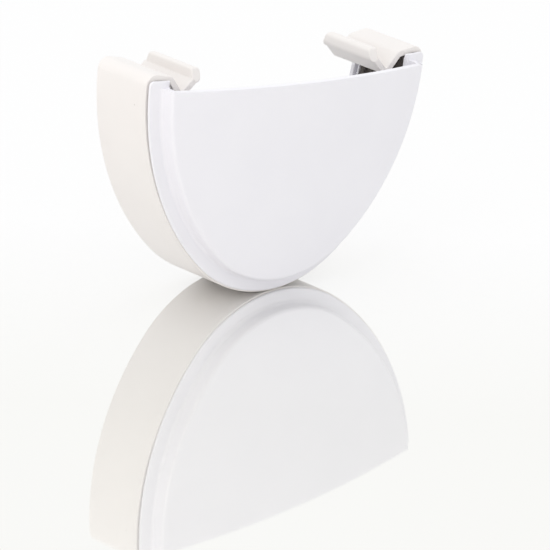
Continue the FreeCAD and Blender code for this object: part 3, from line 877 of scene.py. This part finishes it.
def bead(side):
    """The bead at the end of one tab: a rounded bar whose ends lean in towards its top."""
    drops = (0.0, 0.06, 0.2, 0.4, BEAD_END_RADIUS)
    ends = [(STRAP_FRONT, 1.0, drop) for drop in drops]
    ends += [(STRAP_FRONT + STRAP_WIDTH, -1.0, drop) for drop in drops[::-1]]
    rings = []
    for depth, inward, drop in ends:
        ring = []
        for point in shrunk(BEAD_SECTION, end_rounding(drop, BEAD_END_RADIUS)):
            lean = BEAD_TAPER * (point.y - bead_low.y) / BEAD_HEIGHT
            ring.append(place(side * point.x, depth + inward * (lean + drop), point.y))
        rings.append(ring)
    return loft(rings)


strap = finished_piece("clip_strip", [strip_mesh, bead(-1.0), bead(1.0)], strap_pvc)

# %% [markdown]
# ## Joining the dressed pieces to the frame
#
# Each piece stands for one CAD node, which is hidden. Nothing on the cap turns or slides, so all
# three ride on the one body.

# %% Ride and replace
for piece, node, slot in (
    (moulding, "end_body", "white_upvc"),
    (seal, "rubber_seal", "black_epdm"),
    (strap, "clip_strap", "strap_upvc"),
):
    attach(piece, "root")
    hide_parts(node)
    print(piece.name, "stands for", node)

# %% [markdown]
# ## Floor, light and camera
#
# The cap stands on a glossy white sheet in a bright tent of light, and leans a little to one side on
# its round bottom. The part keeps its own upright frame, so here the floor leans the other way and
# touches the bottom arc, and the camera rolls with it. A plain plane with a mirror-like coat gives
# the reflection. Its colour is a little greyer towards the front, which is painted shade for the
# tent's light falling off there. Its underside is clear, so a low view from the side is never
# blocked. The world is plain white, and four soft boxes model the shapes: a warm one low on the
# left, a faint one in front, one high on the left for the clips, and a cool one above.

# %% Leaning floor
FLOOR_LEAN = math.radians(-6.0)
FLOOR_REACH = 3.0

floor_up = Vector((math.sin(FLOOR_LEAN), 0.0, math.cos(FLOOR_LEAN)))
floor_along = Vector((math.cos(FLOOR_LEAN), 0.0, -math.sin(FLOOR_LEAN)))
touch = Vector((0.0, 0.0, BOTTOM_RADIUS * MM)) - floor_up * BOTTOM_RADIUS * MM
depthwise = Vector((0.0, 1.0, 0.0))
floor_mesh = bpy.data.meshes.new("floor")
floor_mesh.from_pydata(
    [
        touch + floor_along * across * FLOOR_REACH + depthwise * depth * FLOOR_REACH
        for across, depth in ((-1, -1), (1, -1), (1, 1), (-1, 1))
    ],
    [], [(0, 1, 2, 3)],
)
floor = bpy.data.objects.new("floor", floor_mesh)
scene.collection.objects.link(floor)
print("the floor touches the bottom arc", round(touch.x / MM, 1), "mm across")

# %% Glossy white sheet
MIRROR_SHARE = 0.8
MIRROR_ROUGHNESS = 0.03
# The sheet's painted shade fades along this direction, from grey in front to white behind, between
# these two distances in metres
SHADE_FALLOFF_DIRECTION = (0.68, 0.73, 0.0)
GREY_UNTIL, WHITE_FROM = -0.12, 0.06

# Polished acrylic shows a clear, slightly paler picture of the cap over a white ground
sheet, tree = new_material("glossy white acrylic")
where = add_node(tree, "ShaderNodeTexCoord").outputs["Object"]
towards_back = add_node(
    tree, "ShaderNodeVectorMath", {0: where, 1: SHADE_FALLOFF_DIRECTION}, operation="DOT_PRODUCT"
).outputs["Value"]
lit = add_node(
    tree, "ShaderNodeMapRange",
    {"Value": towards_back, "From Min": GREY_UNTIL, "From Max": WHITE_FROM},
).outputs["Result"]
# Painted shade: the sheet's colour is greyer towards the front, where the tent's light falls off
painted_shade_colour = add_node(
    tree, "ShaderNodeMix",
    {"Factor": lit, 6: linear("#F6F6F3"), 7: linear("#FDFDFD")}, data_type="RGBA",
).outputs[2]
mirror = add_node(
    tree, "ShaderNodeBsdfGlossy", {"Color": painted_shade_colour, "Roughness": MIRROR_ROUGHNESS}
).outputs["BSDF"]
white = add_node(tree, "ShaderNodeBsdfDiffuse", {"Color": linear("#FAFAFA")}).outputs["BSDF"]
coated = add_node(
    tree, "ShaderNodeMixShader", {"Fac": MIRROR_SHARE, 1: white, 2: mirror}
).outputs["Shader"]
underside = add_node(tree, "ShaderNodeNewGeometry").outputs["Backfacing"]
clear = add_node(tree, "ShaderNodeBsdfTransparent").outputs["BSDF"]
one_sided = add_node(
    tree, "ShaderNodeMixShader", {"Fac": underside, 1: coated, 2: clear}
).outputs["Shader"]
add_node(tree, "ShaderNodeOutputMaterial", {"Surface": one_sided})
floor_mesh.materials.append(sheet)
print("the floor is", sheet.name)

# %% White world
world = bpy.data.worlds.new("tent")
scene.world = world
world.use_nodes = True
tree = world.node_tree
tree.nodes.clear()
around = add_node(
    tree, "ShaderNodeBackground", {"Color": linear("#FFFFFF"), "Strength": 1.0}
).outputs["Background"]
add_node(tree, "ShaderNodeOutputWorld", {"Surface": around})
print("a white world")

# %% Lamps
LAMP_AIM = Vector((0.0, 0.0, 0.04))


def softbox(name, position, size, power, colour):
    """A square soft lamp at a position, facing the cap."""
    lamp = bpy.data.lights.new(name, "AREA")
    lamp.shape = "SQUARE"
    lamp.size = size
    lamp.energy = power
    lamp.color = linear(colour)[:3]
    box = bpy.data.objects.new(name, lamp)
    box.location = position
    box.rotation_euler = (LAMP_AIM - Vector(position)).to_track_quat("-Z", "Y").to_euler()
    scene.collection.objects.link(box)


softbox("left_box", (-1.2, -0.35, 0.0), size=0.3, power=1.6, colour="#FFF5EF")
softbox("front_box", (-0.2, -1.3, 0.5), size=0.9, power=0.1, colour="#EEF0FF")
softbox("high_box", (-0.9, -0.3, 0.9), size=0.6, power=0.95, colour="#FFFFFF")
softbox("top_box", (0.1, 0.2, 1.4), size=1.0, power=1.3, colour="#EFF4FF")
print("four soft boxes")

# %% Camera
EYE = Vector((-1.354345, -1.467499, 0.582406))
AIM = Vector((-0.001755, -0.014228, 0.008254))
ROLL = math.radians(6.32)
LENS = 375.94

ahead = (AIM - EYE).normalized()
level = ahead.cross(Vector((0.0, 0.0, 1.0))).normalized()
upright = level.cross(ahead)
right = level * math.cos(ROLL) + upright * math.sin(ROLL)
up = upright * math.cos(ROLL) - level * math.sin(ROLL)
lens = bpy.data.cameras.new("camera")
lens.lens = LENS
lens.sensor_width = 36.0
lens.clip_start = 0.1
lens.clip_end = 20.0
camera = bpy.data.objects.new("camera", lens)
camera.matrix_world = Matrix.Translation(EYE) @ Matrix((right, up, -ahead)).transposed().to_4x4()
scene.collection.objects.link(camera)
scene.camera = camera
scene.view_settings.view_transform = "Standard"
print("the camera is", round((AIM - EYE).length, 2), "m away")
